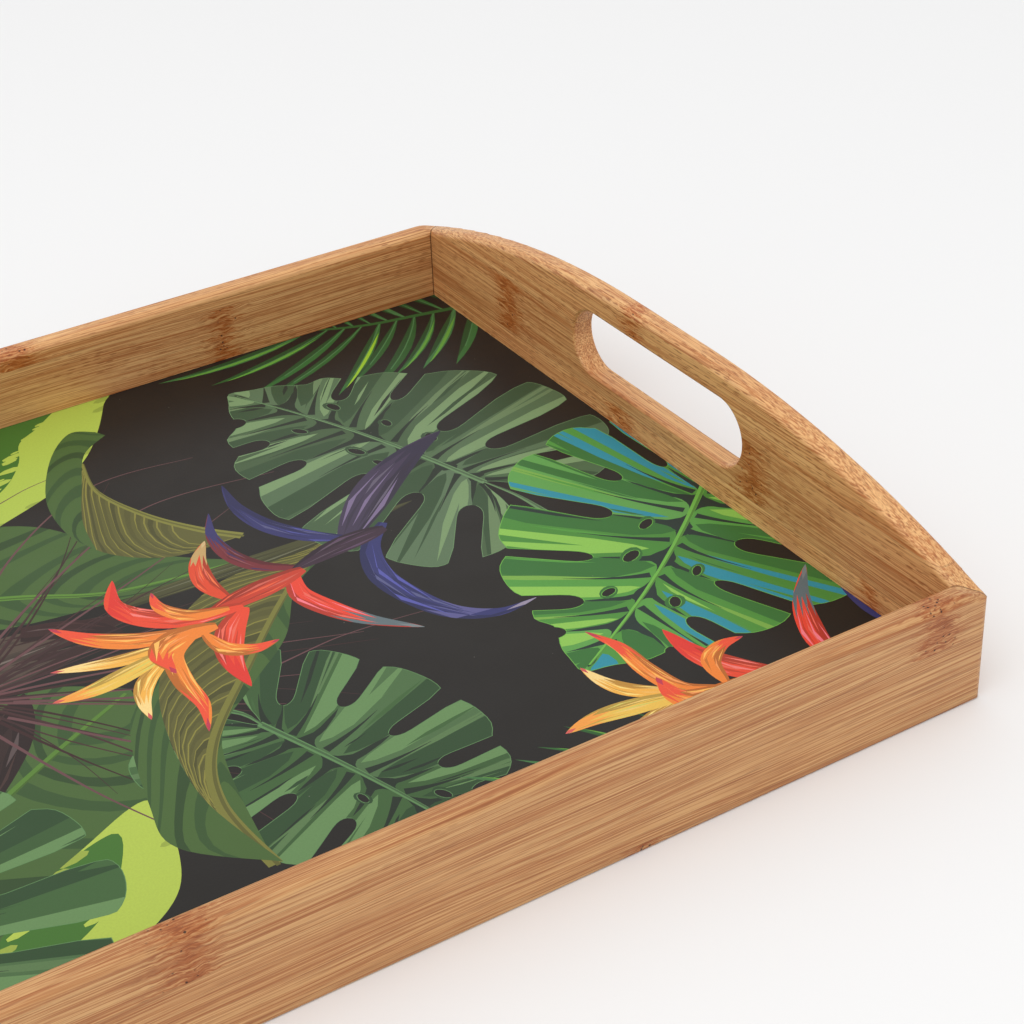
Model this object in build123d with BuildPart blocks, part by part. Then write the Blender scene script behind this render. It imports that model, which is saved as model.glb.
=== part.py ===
"""A bamboo serving tray: four mitred boards, two of them with an arched top and a
hand slot, round a printed base panel that sits in a groove in all four boards.

Units are millimetres. X runs along the tray, Y across it and Z up. The origin is
the centre of the tray on the surface that it stands on.
"""

import os
from math import sqrt

from build123d import *

# Overall sizes
TRAY_LENGTH = 400.0
TRAY_WIDTH = 300.0
BOARD = 8.0  # thickness of all four bamboo boards
RAIL_HEIGHT = 37.6  # rails, and the handle boards where they meet the rails' inner faces
ARCH_HEIGHT = 57.2  # handle boards at mid-width
ARCH_FLAT = 40.0  # straight stretch at the top of the arch

# Hand slots
SLOT_LENGTH = 93.4
SLOT_HEIGHT = 23.4
SLOT_CENTRE_Z = 35.8

# Softened edges
TOP_ROUND = 2.4  # both top edges of every board
FOOT_ROUND = 0.9  # both bottom edges of every board
SLOT_ROUND = 1.0  # both rims of a hand slot
CORNER_ROUND = 2.6  # the tray's four outer corners, seen from above
RAIL_TURN = 14.0  # where a rail's top turns down into the corner

# Base panel: a fibreboard core between a printed sheet and a plain backing sheet
FLOOR_Z = 11.2  # top of the printed sheet
SHEET = 0.3
CORE = 3.0
GROOVE_DEPTH = 4.0
GROOVE_GAP_ABOVE = 0.1  # between the printed sheet and the groove's upper lip
GROOVE_GAP_BESIDE = 0.4  # between the panel's edge and the groove's bottom

# Loose tongues glued into hidden mortises, one across each mitre
TONGUE_WIDTH = 7.0
TONGUE_THICK = 2.0
TONGUE_HEIGHT = 16.0
TONGUE_FOOT_Z = 14.5
TONGUE_INSET = 4.5  # along the mitre, from the inner corner to the tongue's middle
TONGUE_CHAMFER = 0.5
MORTISE_GAP = 0.2  # glue space at a tongue's two edges and two ends

# Worked out from the sizes above
half_length = TRAY_LENGTH / 2
half_width = TRAY_WIDTH / 2
inner_x = half_length - BOARD
inner_y = half_width - BOARD

backing_z = FLOOR_Z - SHEET - CORE - SHEET
core_z = backing_z + SHEET
print_z = core_z + CORE
panel_length = 2 * (inner_x + GROOVE_DEPTH - GROOVE_GAP_BESIDE)
panel_width = 2 * (inner_y + GROOVE_DEPTH - GROOVE_GAP_BESIDE)

# The arch is a straight middle with an arc on each side of it. The arc reaches the
# rails' height above their inner faces and carries on down to the tray's corners.
arc_start = ARCH_FLAT / 2
arc_run = inner_y - arc_start
arc_drop = ARCH_HEIGHT - RAIL_HEIGHT
arc_radius = (arc_run**2 + arc_drop**2) / (2 * arc_drop)
corner_run = half_width - arc_start
corner_z = ARCH_HEIGHT - arc_radius + sqrt(arc_radius**2 - corner_run**2)
corners = [(side_x, side_y) for side_x in (-1, 1) for side_y in (-1, 1)]


def long_top_edges(board, thin_axis):
    """The edges that run along a board's top, on both of its wide faces."""
    lengthways = board.edges().filter_by(thin_axis, reverse=True)
    return lengthways.filter_by_position(Axis.Z, corner_z - TOP_ROUND, ARCH_HEIGHT)


def long_foot_edges(board, thin_axis):
    """The two edges that run along a board's underside."""
    return board.edges().filter_by(thin_axis, reverse=True).group_by(Axis.Z)[0]


# The groove that the base panel sits in, cut from all four boards
with BuildPart() as groove:
    with BuildSketch(Plane.XY.offset(backing_z)):
        Rectangle(2 * (inner_x + GROOVE_DEPTH), 2 * (inner_y + GROOVE_DEPTH))
    extrude(amount=FLOOR_Z + GROOVE_GAP_ABOVE - backing_z)

# The hidden mortises, each square across its own mitre
with BuildPart() as mortises:
    for side_x, side_y in corners:
        along = TONGUE_INSET / sqrt(2)
        middle = (side_x * (inner_x + along), side_y * (inner_y + along), TONGUE_FOOT_Z - MORTISE_GAP)
        with BuildSketch(Plane(origin=middle, x_dir=(side_y, -side_x, 0), z_dir=(0, 0, 1))):
            Rectangle(TONGUE_WIDTH + 2 * MORTISE_GAP, TONGUE_THICK)
        extrude(amount=TONGUE_HEIGHT + 2 * MORTISE_GAP)


def make_rail(side):
    """A long board with a straight top. Side is -1 for the front and 1 for the back."""
    outer_y = side * half_width
    with BuildPart() as rail:
        with BuildSketch(Plane.XZ.offset(-outer_y)):
            with BuildLine():
                Polyline(
                    (-half_length, corner_z),
                    (-half_length, 0),
                    (half_length, 0),
                    (half_length, corner_z),
                    (inner_x, RAIL_HEIGHT),
                    (-inner_x, RAIL_HEIGHT),
                    close=True,
                )
            make_face()
            fillet(vertices().group_by(Axis.Y)[-1], radius=RAIL_TURN)
        extrude(amount=side * BOARD)
        fillet(long_top_edges(rail, Axis.Y), radius=TOP_ROUND)
        fillet(long_foot_edges(rail, Axis.Y), radius=FOOT_ROUND)

        # Mitre both ends, and round the tray's corners off
        with BuildSketch():
            with BuildLine():
                Polyline(
                    (-half_length, outer_y),
                    (half_length, outer_y),
                    (inner_x, side * inner_y),
                    (-inner_x, side * inner_y),
                    close=True,
                )
            make_face()
            RectangleRounded(TRAY_LENGTH, TRAY_WIDTH, CORNER_ROUND, mode=Mode.INTERSECT)
        extrude(amount=ARCH_HEIGHT, mode=Mode.INTERSECT)
        add(groove.part, mode=Mode.SUBTRACT)
        add(mortises.part, mode=Mode.SUBTRACT)
    return rail


def make_handle_board(side):
    """A short board with an arched top and a hand slot. Side is -1 for the left, 1 for the right."""
    outer_x = side * half_length
    with BuildPart() as board:
        with BuildSketch(Plane.YZ.offset(outer_x)):
            with BuildLine():
                Polyline(
                    (-half_width, corner_z),
                    (-half_width, 0),
                    (half_width, 0),
                    (half_width, corner_z),
                )
                RadiusArc((half_width, corner_z), (arc_start, ARCH_HEIGHT), -arc_radius)
                Line((arc_start, ARCH_HEIGHT), (-arc_start, ARCH_HEIGHT))
                RadiusArc((-arc_start, ARCH_HEIGHT), (-half_width, corner_z), -arc_radius)
            make_face()
        extrude(amount=-side * BOARD)
        fillet(long_top_edges(board, Axis.X), radius=TOP_ROUND)
        fillet(long_foot_edges(board, Axis.X), radius=FOOT_ROUND)

        # Hand slot
        with BuildSketch(Plane.YZ.offset(outer_x)):
            with Locations((0, SLOT_CENTRE_Z)):
                SlotOverall(SLOT_LENGTH, SLOT_HEIGHT)
        extrude(amount=-side * BOARD, mode=Mode.SUBTRACT)
        fillet(board.edges(Select.LAST).filter_by(Axis.X, reverse=True), radius=SLOT_ROUND)

        # Mitre both ends, and round the tray's corners off
        with BuildSketch():
            with BuildLine():
                Polyline(
                    (outer_x, -half_width),
                    (outer_x, half_width),
                    (side * inner_x, inner_y),
                    (side * inner_x, -inner_y),
                    close=True,
                )
            make_face()
            RectangleRounded(TRAY_LENGTH, TRAY_WIDTH, CORNER_ROUND, mode=Mode.INTERSECT)
        extrude(amount=ARCH_HEIGHT, mode=Mode.INTERSECT)
        add(groove.part, mode=Mode.SUBTRACT)
        add(mortises.part, mode=Mode.SUBTRACT)
    return board


def make_tongue(side_x, side_y):
    """The loose tongue in one corner's mortise."""
    along = TONGUE_INSET / sqrt(2)
    middle = (side_x * (inner_x + along), side_y * (inner_y + along), TONGUE_FOOT_Z)
    with BuildPart() as tongue:
        with BuildSketch(Plane(origin=middle, x_dir=(side_y, -side_x, 0), z_dir=(0, 0, 1))):
            Rectangle(TONGUE_WIDTH, TONGUE_THICK)
        extrude(amount=TONGUE_HEIGHT)
        end_edges = tongue.faces().filter_by(Axis.Z).edges()
        chamfer(end_edges, length=TONGUE_CHAMFER)
    return tongue


def make_panel_layer(foot_z, thickness):
    """One layer of the base panel."""
    with BuildPart() as layer:
        with BuildSketch(Plane.XY.offset(foot_z)):
            Rectangle(panel_length, panel_width)
        extrude(amount=thickness)
    return layer


pieces = {
    "front_rail": make_rail(-1),
    "back_rail": make_rail(1),
    "left_handle_board": make_handle_board(-1),
    "right_handle_board": make_handle_board(1),
    "backing_sheet": make_panel_layer(backing_z, SHEET),
    "base_core": make_panel_layer(core_z, CORE),
    "printed_sheet": make_panel_layer(print_z, SHEET),
}
for side_x, side_y in corners:
    place = ("front" if side_y < 0 else "back") + ("_left" if side_x < 0 else "_right")
    pieces["mitre_tongue_" + place] = make_tongue(side_x, side_y)

os.makedirs("parts", exist_ok=True)
for name, piece in pieces.items():
    piece.part.label = name
    export_step(piece.part, f"parts/{name}.step")
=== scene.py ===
import math
import random

import bpy
import numpy as np
from mathutils import Matrix, Vector, geometry


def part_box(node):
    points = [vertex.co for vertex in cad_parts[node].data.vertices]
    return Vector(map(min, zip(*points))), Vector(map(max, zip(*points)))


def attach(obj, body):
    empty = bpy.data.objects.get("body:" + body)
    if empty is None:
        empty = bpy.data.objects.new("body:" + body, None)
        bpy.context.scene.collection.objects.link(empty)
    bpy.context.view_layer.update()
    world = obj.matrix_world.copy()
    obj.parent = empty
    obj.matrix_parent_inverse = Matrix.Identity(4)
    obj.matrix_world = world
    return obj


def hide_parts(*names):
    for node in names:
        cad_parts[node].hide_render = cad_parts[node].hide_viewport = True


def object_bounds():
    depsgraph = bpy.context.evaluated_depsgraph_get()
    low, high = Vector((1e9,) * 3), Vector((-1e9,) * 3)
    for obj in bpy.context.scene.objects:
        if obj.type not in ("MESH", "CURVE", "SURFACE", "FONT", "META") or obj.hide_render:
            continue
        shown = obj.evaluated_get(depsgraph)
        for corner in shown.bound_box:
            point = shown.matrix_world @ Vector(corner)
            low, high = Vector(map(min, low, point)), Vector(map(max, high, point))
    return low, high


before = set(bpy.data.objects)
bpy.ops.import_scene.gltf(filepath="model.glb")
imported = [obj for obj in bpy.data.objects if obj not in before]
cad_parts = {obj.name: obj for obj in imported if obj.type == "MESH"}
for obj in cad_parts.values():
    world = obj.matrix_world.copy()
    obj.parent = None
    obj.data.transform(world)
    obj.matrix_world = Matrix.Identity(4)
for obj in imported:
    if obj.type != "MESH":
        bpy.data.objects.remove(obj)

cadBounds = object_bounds()

mm = 0.001
boards = ["front_rail", "back_rail", "left_handle_board", "right_handle_board"]
trayLow, trayHigh = (Vector(corner) for corner in cadBounds)
railLow, railHigh = (Vector(corner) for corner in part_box("front_rail"))
boardThick = railHigh.y - railLow.y
innerX = (trayHigh.x - boardThick) / mm
innerY = (trayHigh.y - boardThick) / mm


# Helpers that build a material's nodes
def addNode(tree, kind, settings=None, **inputs):
    # inputs are named as on the node, with _ for a space, or n0, n1 for the first and second socket
    made = tree.nodes.new(kind)
    for name, value in (settings or {}).items():
        setattr(made, name, value)
    for name, value in inputs.items():
        key = int(name[1:]) if name[0] == "n" and name[1:].isdigit() else name.replace("_", " ")
        setSocket(tree, made.inputs[key], value)
    return made


def setSocket(tree, socket, value):
    if isinstance(value, bpy.types.NodeSocket):
        tree.links.new(value, socket)
    else:
        socket.default_value = value


def calc(tree, operation, a, b=0.0, c=0.0):
    return addNode(tree, "ShaderNodeMath", {"operation": operation}, n0=a, n1=b, n2=c).outputs[0]


def times(tree, a, b):
    return calc(tree, "MULTIPLY", a, b)


def timesPlus(tree, a, b, c):
    return calc(tree, "MULTIPLY_ADD", a, b, c)


def minus(tree, a, b):
    return calc(tree, "SUBTRACT", a, b)


def absolute(tree, a):
    return calc(tree, "ABSOLUTE", a)


def larger(tree, a, b):
    return calc(tree, "MAXIMUM", a, b)


def smoothStep(tree, value, low, high, toLow=0.0, toHigh=1.0):
    settings = {"interpolation_type": "SMOOTHSTEP"}
    made = addNode(tree, "ShaderNodeMapRange", settings, Value=value, From_Min=low, From_Max=high)
    made.inputs["To Min"].default_value = toLow
    made.inputs["To Max"].default_value = toHigh
    return made.outputs["Result"]


def blendColour(tree, factor, a, b, mode="MIX"):
    made = addNode(tree, "ShaderNodeMix", {"data_type": "RGBA", "blend_type": mode})
    for index, value in ((0, factor), (6, a), (7, b)):  # the colour sockets among all the node has
        setSocket(tree, made.inputs[index], value)
    return made.outputs[2]


def joined(tree, x, y, z):
    return addNode(tree, "ShaderNodeCombineXYZ", X=x, Y=y, Z=z).outputs[0]


def scaled(tree, parts, scales):
    # a place whose three parts are stretched or squeezed
    return joined(tree, *(times(tree, part, scale) for part, scale in zip(parts, scales)))


def placeInMm(tree):
    place = addNode(tree, "ShaderNodeTexCoord").outputs["Object"]
    return stretched(tree, place, (1 / mm, 1 / mm, 1 / mm))


def stretched(tree, place, scales):
    return addNode(tree, "ShaderNodeMapping", Vector=place, Scale=scales).outputs[0]


def noiseAt(tree, place, detail=2.0, roughness=0.5, scale=1.0):
    made = addNode(tree, "ShaderNodeTexNoise", Vector=place, Scale=scale, Detail=detail)
    made.inputs["Roughness"].default_value = roughness
    return made.outputs["Fac"]


def cellsAt(tree, place, scale=1.0, randomness=1.0):
    # how far the nearest cell's middle is, and the cell's own random colour
    made = addNode(tree, "ShaderNodeTexVoronoi", Vector=place, Scale=scale, Randomness=randomness)
    return made.outputs["Distance"], made.outputs["Color"]


def parted(tree, colour):
    return addNode(tree, "ShaderNodeSeparateColor", Color=colour).outputs


def toLinear(r, g, b):
    # a colour as a paint chart gives it, 0 to 255, as the shader wants it
    parts = (c / 255 / 12.92 if c < 11 else ((c / 255 + 0.055) / 1.055) ** 2.4 for c in (r, g, b))
    return (*parts, 1.0)


def newMaterial(name):
    made = bpy.data.materials.new(name)
    made.use_nodes = True
    made.node_tree.nodes.clear()
    return made, made.node_tree


def finishMaterial(tree, colour, roughness, height, heightMm, **shader):
    bump = addNode(tree, "ShaderNodeBump", Height=height, Strength=1.0, Distance=heightMm * mm)
    shader |= {"Base_Color": colour, "Roughness": roughness, "Normal": bump.outputs[0]}
    made = addNode(tree, "ShaderNodeBsdfPrincipled", **shader)
    addNode(tree, "ShaderNodeOutputMaterial", Surface=made.outputs[0])


def coverWith(names, material):
    for name in names:
        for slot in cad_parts[name].material_slots:
            slot.material = material


print("tray frame read:", [round(v, 4) for v in (*trayLow, *trayHigh)])


# Bamboo. Each board is glued up from strips one above the other. Fibres run along the
# board as bundles, so a face cut along them shows streaks and a face cut across them dots.
bamboo = {
    "colours": {
        "pale": (231, 180, 119),
        "honey": (206, 145, 88),
        "streak": (174, 100, 46),
        "fibre": (148, 84, 38),
        "knuckle": (180, 92, 22),
        "char": (130, 62, 14),
        "pore": (44, 26, 16),
        "glue": (84, 50, 26),
    },
    "stripHigh": 20.2,  # in mm, as are the other lengths
    "stripTone": (0.90, 1.08),  # the darkest strip and the palest
    "caneLength": 900.0,  # the strips come from places this far apart
    "bundleApart": 0.74,
    "drift": (4.5, 2.0),  # how far the fibres wander, up and across
    "swerve": 2.6,
    "strandShift": 31.0,
    "knuckleHalf": (7.4, 4.4),  # half the width of a large knuckle and of a small one
    "smallKnuckle": 12,  # a knuckle with no longer tail than this is small
    "knuckleRagged": 9.0,
    "knuckleCombed": 26.0,
    "glueStrength": 0.30,
    # how dark the mitre line is painted: a glue line, with painted shade in the joint between the boards
    "mitreGlueAndShadeStrength": 0.72,
    "roughness": 0.44,
    "coat": 0.08,
    "coatRoughness": 0.25,
    "relief": 0.05,
}

# Layers of grain: how often they change along and across the fibres, per mm, then the
# noise's detail and roughness
grain = {
    "broad": (0.0045, 0.22, 2.0, 0.55),
    "streaks": (0.0065, 1.5, 3.0, 0.62),
    "threads": (0.010, 2.3, 2.0, 0.6),
    "hairs": (0.06, 2.8, 2.0, 0.6),
    "flame": (0.18, 1.7, 3.0, 0.7),
    "patches": (0.011, 0.05, 1.0, 0.5),
}

# Knuckles are (along the board, foot, top, length of the flecked part beyond it), in mm
# from the tray's middle. Flecked is how much of the rest is flecked rather than streaked.
boardPlans = {
    "right_handle_board": {
        "grain": "Y", "seed": 3.0, "stripFoot": -1.2, "flecked": 0.7, "lightness": 1.04,
        "knuckles": [
            (89, 19.0, 39.2, -44), (13, 39.2, 60.0, -10), (19, -1.2, 19.0, -22),
            (-52, 19.0, 39.2, -46), (-109, -1.2, 19.0, -12),
        ],
    },
    "left_handle_board": {
        "grain": "Y", "seed": 11.0, "stripFoot": -1.2, "flecked": 0.6, "lightness": 1.0,
        "knuckles": [
            (-74, 19.0, 39.2, 30), (31, 39.2, 60.0, -12), (102, -1.2, 19.0, -20),
            (96, 19.0, 39.2, -28), (-20, -1.2, 19.0, 14),
        ],
    },
    "back_rail": {
        "grain": "X", "seed": 23.0, "stripFoot": -9.0, "flecked": 0.5, "lightness": 0.95,
        "knuckles": [
            (106, 11.2, 31.4, -12), (28, 31.4, 51.0, -40), (-82, 11.2, 31.4, -34),
            (-160, 31.4, 51.0, 16), (150, -9.0, 11.2, 10), (-30, -9.0, 11.2, -12),
        ],
    },
    "front_rail": {
        "grain": "X", "seed": 37.0, "stripFoot": 2.6, "flecked": 0.16, "lightness": 0.78,
        "knuckles": [
            (182, 22.8, 43.0, -14), (82, -17.0, 2.6, -9), (-44, 22.8, 43.0, -18),
            (-132, 2.6, 22.8, 20), (-170, 22.8, 43.0, 12),
        ],
    },
}


def knuckleMasks(tree, cane, along, across, high, knuckles):
    # where the knuckles are, where fibres bend round them, and the flecked wood that runs
    # out from them on one side; their ends are ragged, and combed out fibre by fibre
    ragged = noiseAt(tree, scaled(tree, (cane, across, high), (0.28, 1.0, 1.0)), 3.0, 0.7, 0.42)
    combed = noiseAt(tree, scaled(tree, (cane, across, high), (0.05, 1.3, 1.3)), 2.0, 0.7)
    ragged, combed = minus(tree, ragged, 0.5), minus(tree, combed, 0.5)
    large, small = bamboo["knuckleHalf"]
    band, near, flecks = 0.0, 0.0, 0.0
    for spot, foot, top, reach in knuckles:
        aboveFoot = smoothStep(tree, high, foot - 0.15, foot + 0.15)
        inStrip = times(tree, aboveFoot, smoothStep(tree, high, top - 0.15, top + 0.15, 1.0, 0.0))
        offset = timesPlus(tree, ragged, bamboo["knuckleRagged"], minus(tree, along, spot))
        offset = timesPlus(tree, combed, bamboo["knuckleCombed"], offset)
        distance = absolute(tree, offset)
        half = large if abs(reach) > bamboo["smallKnuckle"] else small
        here = smoothStep(tree, distance, half * 0.4, half * 1.3, 1.0, 0.0)
        around = smoothStep(tree, distance, 3.0, 16.0, 1.0, 0.0)
        outward = times(tree, offset, 1.0 if reach > 0 else -1.0)
        fading = smoothStep(tree, outward, abs(reach) * 0.35, abs(reach), 1.0, 0.0)
        tail = times(tree, smoothStep(tree, outward, -3.0, 2.0), fading)
        band = larger(tree, band, times(tree, here, inStrip))
        near = larger(tree, near, times(tree, around, inStrip))
        flecks = larger(tree, flecks, times(tree, tail, inStrip))
    return band, near, flecks


def bambooMaterial(board, plan):
    made, tree = newMaterial("bamboo_" + board)
    axes = addNode(tree, "ShaderNodeSeparateXYZ", Vector=placeInMm(tree)).outputs
    lengthways = 0 if plan["grain"] == "X" else 1
    along, across, high = axes[lengthways], axes[1 - lengthways], axes[2]

    # Each strip has its own tone and its own place along the cane
    aboveFoot = minus(tree, high, plan["stripFoot"])
    strip = calc(tree, "FLOOR", calc(tree, "DIVIDE", aboveFoot, bamboo["stripHigh"]))
    stripKey = calc(tree, "ADD", strip, plan["seed"])
    chance = addNode(tree, "ShaderNodeTexWhiteNoise", {"noise_dimensions": "1D"}, W=stripKey)
    chances = parted(tree, chance.outputs["Color"])
    cane = timesPlus(tree, chances[0], bamboo["caneLength"], along)
    band, near, flecks = knuckleMasks(tree, cane, along, across, high, plan["knuckles"])

    # Fibres wander a little, and swerve round the knuckles
    drift = minus(tree, noiseAt(tree, scaled(tree, (cane, across, high), (0.009, 0.06, 0.05)), 1.0), 0.5)
    swerve = minus(tree, noiseAt(tree, scaled(tree, (cane, across, high), (0.22, 0.3, 0.3)), 1.0), 0.5)
    level = timesPlus(tree, drift, bamboo["drift"][0], high)
    level = timesPlus(tree, times(tree, swerve, near), bamboo["swerve"], level)
    level = timesPlus(tree, chances[1], bamboo["strandShift"], level)
    depth = timesPlus(tree, drift, bamboo["drift"][1], across)

    def grainPlace(alongScale, crossScale):
        return scaled(tree, (cane, depth, level), (alongScale, crossScale, crossScale))

    def bundles(alongScale, jitter, weakest, strongest):
        # the middles of the bundles, some stronger than others
        distance, own = cellsAt(tree, grainPlace(alongScale, 1 / bamboo["bundleApart"]), 1.0, jitter)
        middles = smoothStep(tree, distance, 0.20, 0.42, 1.0, 0.0)
        return times(tree, middles, smoothStep(tree, parted(tree, own)[0], weakest, strongest))

    layers = {}
    for name, (alongScale, crossScale, detail, roughness) in grain.items():
        layers[name] = noiseAt(tree, grainPlace(alongScale, crossScale), detail, roughness)

    # Flecked wood has bundles cut short, streaked wood has them running on
    fleckLimit = 0.72 - 0.44 * plan["flecked"]
    mostFlecks = 0.7 * plan["flecked"]
    flecked = smoothStep(tree, layers["patches"], fleckLimit, fleckLimit + 0.14, mostFlecks, 1.0)
    longFibre = bundles(0.012, 0.9, 0.25, 0.9)
    shortFibre = times(tree, bundles(0.20, 1.0, 0.05, 0.6), larger(tree, flecked, flecks))

    # Colour, from the palest wood down to the darkest
    wood = {name: toLinear(*tone) for name, tone in bamboo["colours"].items()}
    colour = blendColour(tree, smoothStep(tree, layers["broad"], 0.30, 0.70), wood["pale"], wood["honey"])

    def toned(name, start, full, strength, tone):
        # the colour so far, with a layer of grain laid on in another tone
        amount = smoothStep(tree, layers[name], start, full, 0.0, strength)
        return blendColour(tree, amount, colour, wood[tone])

    def tinted(mask, strength, tone):
        return blendColour(tree, times(tree, mask, strength), colour, wood[tone])

    colour = toned("streaks", 0.48, 0.64, 0.74, "streak")
    colour = toned("threads", 0.50, 0.60, 0.62, "streak")
    colour = toned("threads", 0.47, 0.38, 0.66, "pale")
    colour = tinted(longFibre, 0.48, "fibre")
    colour = tinted(shortFibre, 0.74, "fibre")
    colour = toned("hairs", 0.50, 0.72, 0.45, "fibre")
    colour = toned("hairs", 0.46, 0.26, 0.45, "pale")

    # A face cut square across the cane shows the bundles' dark ends
    facing = addNode(tree, "ShaderNodeTexCoord").outputs["Normal"]
    facing = addNode(tree, "ShaderNodeSeparateXYZ", Vector=facing).outputs
    squareCut = smoothStep(tree, absolute(tree, facing[lengthways]), 0.30, 0.75)
    colour = tinted(times(tree, bundles(0.3, 0.7, 0.0, 0.3), squareCut), 0.72, "fibre")

    # Round a knuckle the wood is scorched in flames, with a few black pores
    flame = layers["flame"]
    colour = tinted(times(tree, flecks, smoothStep(tree, flame, 0.46, 0.62)), 0.50, "streak")
    colour = tinted(times(tree, band, smoothStep(tree, flame, 0.42, 0.56, 0.34, 1.0)), 0.88, "knuckle")
    colour = tinted(times(tree, band, smoothStep(tree, flame, 0.50, 0.60)), 0.60, "char")
    colour = tinted(times(tree, band, smoothStep(tree, flame, 0.40, 0.30)), 0.50, "pale")
    distance, own = cellsAt(tree, grainPlace(0.5, 0.6))
    rare = times(tree, band, smoothStep(tree, parted(tree, own)[1], 0.25, 0.35))
    pores = times(tree, smoothStep(tree, distance, 0.12, 0.24, 1.0, 0.0), rare)
    colour = tinted(pores, 0.9, "pore")

    # Tone from strip to strip, the glue line between strips, and the dark mitre line, which is a glue
    # line with painted shade in the joint
    darkest, palest = (tone * plan["lightness"] for tone in bamboo["stripTone"])
    stripTone = smoothStep(tree, chances[2], 0.0, 1.0, darkest, palest)
    colour = blendColour(tree, 1.0, colour, joined(tree, stripTone, stripTone, stripTone), "MULTIPLY")
    fromBelow = calc(tree, "ADD", aboveFoot, 10 * bamboo["stripHigh"])  # the remainder needs it above 0
    inStripHigh = calc(tree, "MODULO", fromBelow, bamboo["stripHigh"])
    glue = smoothStep(tree, inStripHigh, 0.10, 0.28, 1.0, 0.0)
    # the mitre line is a glue line with painted shade in the joint, darker than the glue lines between
    # strips
    pastInnerX = minus(tree, absolute(tree, axes[0]), innerX)
    pastInnerY = minus(tree, absolute(tree, axes[1]), innerY)
    mitre = smoothStep(tree, absolute(tree, minus(tree, pastInnerX, pastInnerY)), 0.10, 0.34, 1.0, 0.0)
    seams = times(tree, glue, bamboo["glueStrength"]), times(tree, mitre, bamboo["mitreGlueAndShadeStrength"])
    colour = blendColour(tree, larger(tree, *seams), colour, wood["glue"])

    # Satin lacquer, a little rougher in the fibres and thin over the pores
    rough = timesPlus(tree, smoothStep(tree, layers["streaks"], 0.3, 0.8), 0.10, bamboo["roughness"])
    rough = timesPlus(tree, pores, 0.25, rough)
    relief = timesPlus(tree, layers["hairs"], 0.5, times(tree, layers["streaks"], 0.5))
    for mask, deep in ((larger(tree, longFibre, shortFibre), 0.35), (pores, 2.0), (mitre, 2.2)):
        relief = minus(tree, relief, times(tree, mask, deep))
    coat = {"Coat_Weight": bamboo["coat"], "Coat_Roughness": bamboo["coatRoughness"]}
    finishMaterial(tree, colour, rough, relief, bamboo["relief"], **coat)
    return made


for board in boards:
    coverWith([board], bambooMaterial(board, boardPlans[board]))
print("boards done:", len(boards))


# Picture: leaves and flowers as flat shapes laid one on another, in mm from the tray's middle.
# A loop is a closed line. Each patch of ink is a loop, kept inside a stencil if it has one.
picture = {
    "paper": (31, 28, 25),
    "step": 2.6,  # between the points of a smooth line
    "nearest": 0.004,  # points closer than this become one
    "haze": (62, 56, 50),
    "dust": (150, 144, 134),
    "fading": 0.08,
    "specksPerMm": 0.11,
    "roughness": (0.39, 0.46),
    "relief": 0.012,
    "ior": 1.33,
}
loops, inks, stencils = [], [], []


def addLoop(points):
    loops.append(points)
    return len(loops) - 1


def ink(colour, points, stencil=None):
    if len(points) > 2:
        inks.append((colour, addLoop(points), stencil))


def addStencil(outer, cuts=()):
    stencils.append((addLoop(outer), [addLoop(cut) for cut in cuts]))
    return len(stencils) - 1


def through(points, closed=False, steps=None):
    # a smooth line through a few points
    count = len(points)
    result = []
    for i in range(count if closed else count - 1):
        if closed:
            p0, p1, p2, p3 = (points[(i + k) % count] for k in (-1, 0, 1, 2))
        else:
            p0, p1, p2, p3 = (points[min(max(i + k, 0), count - 1)] for k in (-1, 0, 1, 2))
        parts = steps or max(2, round(math.dist(p1, p2) / picture["step"]))
        for j in range(parts):
            t = j / parts
            before = -t + 2 * t * t - t**3
            here = 2 - 5 * t * t + 3 * t**3
            there = t + 4 * t * t - 3 * t**3
            after = t**3 - t * t
            shares = ((before, p0), (here, p1), (there, p2), (after, p3))
            result.append(tuple(sum(share * p[k] for share, p in shares) / 2 for k in (0, 1)))
    if not closed:
        result.append(tuple(points[-1]))
    return result


def pointAt(line, s):
    # the place a share s of the way along a line, which carries straight on past its ends
    place = s * (len(line) - 1)
    i = min(max(int(math.floor(place)), 0), len(line) - 2)
    t = place - i
    return tuple(a + (b - a) * t for a, b in zip(line[i], line[i + 1]))


def ribbon(line, half):
    # a band along a line; half is half its width as a function of the share of the way along
    left, right = [], []
    count = len(line)
    for i, (x, y) in enumerate(line):
        ax, ay = line[max(i - 1, 0)]
        bx, by = line[min(i + 1, count - 1)]
        size = math.hypot(bx - ax, by - ay) or 1.0
        nx, ny = -(by - ay) / size, (bx - ax) / size
        w = half(i / (count - 1))
        left.append((x + nx * w, y + ny * w))
        right.append((x - nx * w, y - ny * w))
    return left + right[::-1]


def ribbonAt(line, shares, half):
    # the same, with a point at each share
    places = [pointAt(line, share) for share in shares]
    return ribbon(places, lambda s: half(shares[round(s * (len(shares) - 1))]))


def blade(fullest=0.4, width=1.0, root=0.0):
    # a leaf-like width, from root at the start to a point at the end
    def half(s):
        rise = math.sin(math.pi / 2 * min(s / fullest, 1.0))
        fall = math.cos(math.pi / 2 * max(s - fullest, 0.0) / (1 - fullest)) ** 0.9
        return width * max(root + (1 - root) * rise if s < fullest else fall, 0.02)
    return half


def between(a, b, s, t):
    # a place on the cloth stretched between two lines
    p, q = pointAt(a, s), pointAt(b, s)
    return (p[0] + (q[0] - p[0]) * t, p[1] + (q[1] - p[1]) * t)


def oval(middle, long, short, lean, count, step):
    # a rough ellipse of some points, a step of the angle apart
    x, y = middle
    return [(x + long * math.cos(k * step), y + short * math.sin(k * step + lean)) for k in range(count)]


def shade(colour, amount):
    # lighter above 0, darker below
    goal = 255 if amount > 0 else 0
    return tuple(round(c + (goal - c) * abs(amount)) for c in colour)


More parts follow.
